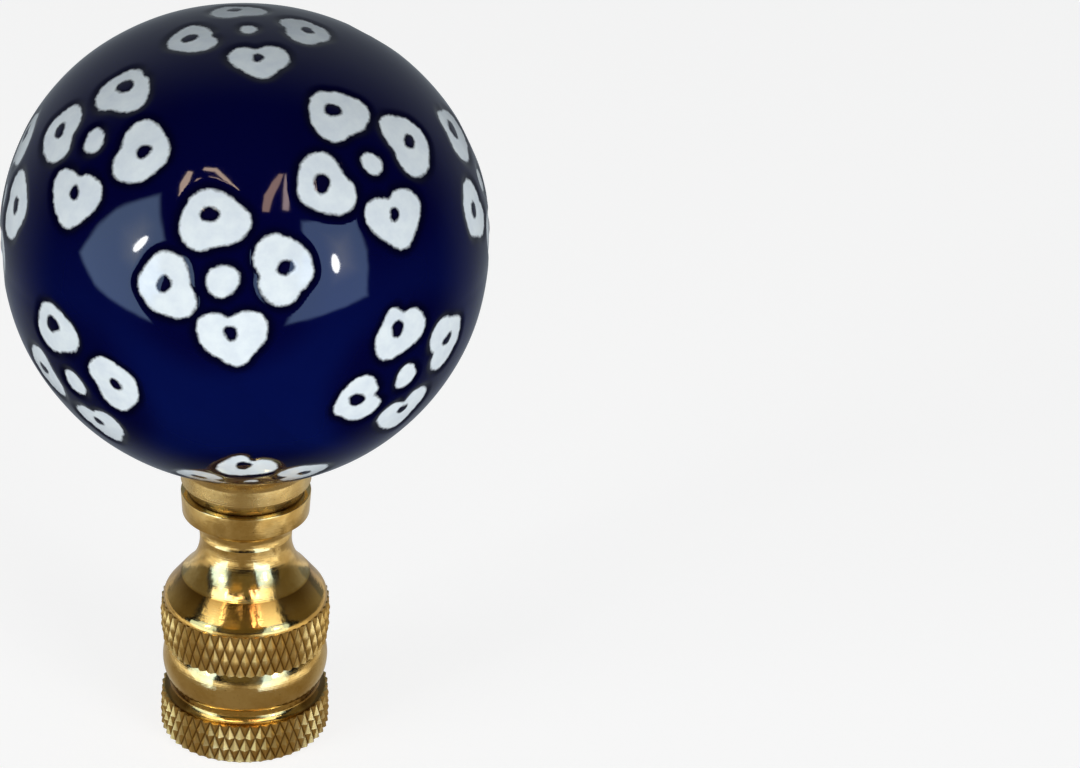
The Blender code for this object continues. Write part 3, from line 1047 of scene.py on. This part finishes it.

# The surroundings as the glaze and the brass reflect them. Their corners were worked out from where the
# photograph shows them on the ball, then adjusted and rounded to half a degree
PANELS = (
    Panel(((-51, 40), (-38.5, 20), (-42, -23), (-73, -12), (-82.5, -2), (-71, 24)), 0.05, LEFT_CLOTH),
    Panel(((-56, 31), (-44, 28), (-42, 8), (-49, -3), (-62, 3), (-66, 18)), 0.30, LEFT_MIDDLE),
    Panel(((29, 33.5), (57.5, 27), (59.5, 11), (57, -11), (16, -20)), 0.04, RIGHT_CLOTH),
    Panel(((36, 28), (55, 24), (56, 2), (36, -4)), 0.30, RIGHT_MIDDLE),
    Panel(((25, 58), (29, 57), (16.5, 44), (13, 38.5), (9, 39), (11, 48)), 0.006, (5.2, 3.3, 2.4)),
    Panel(((29.5, 57), (34, 55.5), (27.5, 44), (26, 37.5), (21, 39), (24, 48.5)), 0.012, (6.2, 4.6, 4.2)),
    Panel(((-40.5, 40), (-44.5, 46.5), (-46, 53.5), (-41.5, 54), (-38, 41)), 0.006, BRIGHT_STREAK),
    Panel(((-39, 44), (-39, 49), (-34.5, 52.5), (-32, 51), (-36.5, 48), (-36.5, 44.5)), 0.006, STREAK_END),
    Panel(((-36.5, 56), (-35.5, 58.5), (-25, 60), (-24, 57.5)), 0.006, BRIGHT_STREAK),
    Panel(((-26, 60), (-5.5, 50), (-8, 48.5), (-25, 57)), 0.006, BRIGHT_STREAK),
    Panel(((-33, 54.5), (-23.5, 55), (-11, 50.5), (-13, 49), (-23.5, 53)), 0.006, DIM_STREAK),
)


# Radiance of the room before the finial, of the pale wall behind it, and of what the camera sees there
DIM_ROOM = (0.010, 0.010, 0.012)
PALE_BACK = (0.21, 0.235, 0.26)
BACKDROP = (0.93, 0.93, 0.93)


def panel_mask(tree, way, panel):
    """1 where the way points well inside the panel, and 0 outside it."""
    corners = [direction(*corner) for corner in panel.corners]
    middle = sum(corners)
    depth = None
    for start, end in zip(corners, corners[1:] + corners[:1]):
        inward = np.cross(start, end)
        inward *= math.copysign(1.0, inward @ middle) / np.linalg.norm(inward)
        distance = add_node(tree, "ShaderNodeVectorMath", {0: way, 1: tuple(inward)},
                            operation="DOT_PRODUCT").outputs["Value"]
        depth = distance if depth is None else calculated(tree, "MINIMUM", depth, distance)
    return ranged(tree, depth, 0.0, panel.softness, soft=True)


def add_surroundings(settings):
    """A pale dome, which reflections show as a dim room with two softboxes."""
    world = bpy.data.worlds.new("studio")
    bpy.context.scene.world = world
    world.use_nodes = True
    world.cycles.sampling_method = "NONE"
    tree = world.node_tree
    tree.nodes.clear()
    way = add_node(tree, "ShaderNodeTexCoord").outputs["Generated"]
    back = add_node(tree, "ShaderNodeSeparateXYZ", {0: way}).outputs["Y"]
    share = ranged(tree, back, 0.05, 0.9, soft=True)
    reflected = mixed(tree, share, DIM_ROOM, PALE_BACK)
    for panel in PANELS:
        reflected = mixed(tree, panel_mask(tree, way, panel), reflected, panel.colour)
    glow = settings.dome_glow
    path = add_node(tree, "ShaderNodeLightPath")
    lit = mixed(tree, path.outputs["Is Glossy Ray"], (glow * 0.96, glow, glow * 1.03), reflected)
    seen = mixed(tree, path.outputs["Is Camera Ray"], lit, BACKDROP)
    background = add_node(tree, "ShaderNodeBackground", {"Color": seen}).outputs[0]
    add_node(tree, "ShaderNodeOutputWorld", {"Surface": background})


class FINIAL_OT_glazed_ball(bpy.types.Operator):
    """Make the glazed ceramic ball with its dot flowers"""

    bl_idname = "finial.glazed_ball"
    bl_label = "Glazed ball"

    def execute(self, context):
        settings = context.scene.finial_ball
        glaze = cobalt_glaze(settings)
        finish_object("glazed_ball", ball_mesh(settings), glaze, "ceramic_ball")
        return {"FINISHED"}


class FINIAL_OT_turned_seat(bpy.types.Operator):
    """Make the turned brass seat under the ball"""

    bl_idname = "finial.turned_seat"
    bl_label = "Turned seat"

    def execute(self, context):
        settings = context.scene.finial_seat
        brass = turned_brass("satin_turned_brass", settings, smooth=0.2, rough=0.34, marks=0.008 * MM)
        finish_object("turned_seat", seat_mesh(), brass, "seat_collar")
        return {"FINISHED"}


class FINIAL_OT_turned_base(bpy.types.Operator):
    """Make the turned and knurled brass base with its threaded bore"""

    bl_idname = "finial.turned_base"
    bl_label = "Turned base"

    def execute(self, context):
        settings = context.scene.finial_base
        brass = turned_brass("polished_turned_brass", settings, smooth=0.09, rough=0.21, marks=0.004 * MM)
        finish_object("turned_base", base_mesh(settings), brass, "base")
        return {"FINISHED"}


class FINIAL_OT_stage(bpy.types.Operator):
    """Set up the camera, the floor, the surroundings and the lights"""

    bl_idname = "finial.stage"
    bl_label = "Stage"

    def execute(self, context):
        settings = context.scene.finial_stage
        add_camera(settings)
        add_floor(settings)
        add_surroundings(settings)
        add_lights(settings)
        context.scene.view_settings.view_transform = "Standard"
        return {"FINISHED"}


class FINIAL_PT_sidebar(bpy.types.Panel):
    """The finial's pieces and stage in the sidebar"""

    bl_idname = "FINIAL_PT_sidebar"
    bl_label = "Lamp shade finial"
    bl_space_type = "VIEW_3D"
    bl_region_type = "UI"
    bl_category = "Finial"

    def draw(self, context):
        for operator in OPERATORS:
            self.layout.operator(operator.bl_idname)
        for group in SETTINGS:
            settings = getattr(context.scene, group)
            box = self.layout.box()
            for name in settings.bl_rna.properties.keys():
                if name not in ("rna_type", "name"):
                    box.prop(settings, name)


OPERATORS = (FINIAL_OT_turned_base, FINIAL_OT_turned_seat, FINIAL_OT_glazed_ball, FINIAL_OT_stage)
SETTINGS = {
    "finial_ball": BallSettings,
    "finial_seat": SeatSettings,
    "finial_base": BaseSettings,
    "finial_stage": StageSettings,
}


def register():
    for made in (*SETTINGS.values(), *OPERATORS, FINIAL_PT_sidebar):
        bpy.utils.register_class(made)
    for name, group in SETTINGS.items():
        setattr(bpy.types.Scene, name, PointerProperty(type=group))


def unregister():
    for name in SETTINGS:
        delattr(bpy.types.Scene, name)
    for made in reversed((*SETTINGS.values(), *OPERATORS, FINIAL_PT_sidebar)):
        bpy.utils.unregister_class(made)


def main():
    register()
    bpy.ops.finial.turned_base()
    bpy.ops.finial.turned_seat()
    bpy.ops.finial.glazed_ball()
    bpy.ops.finial.stage()


if __name__ == "__main__":
    main()
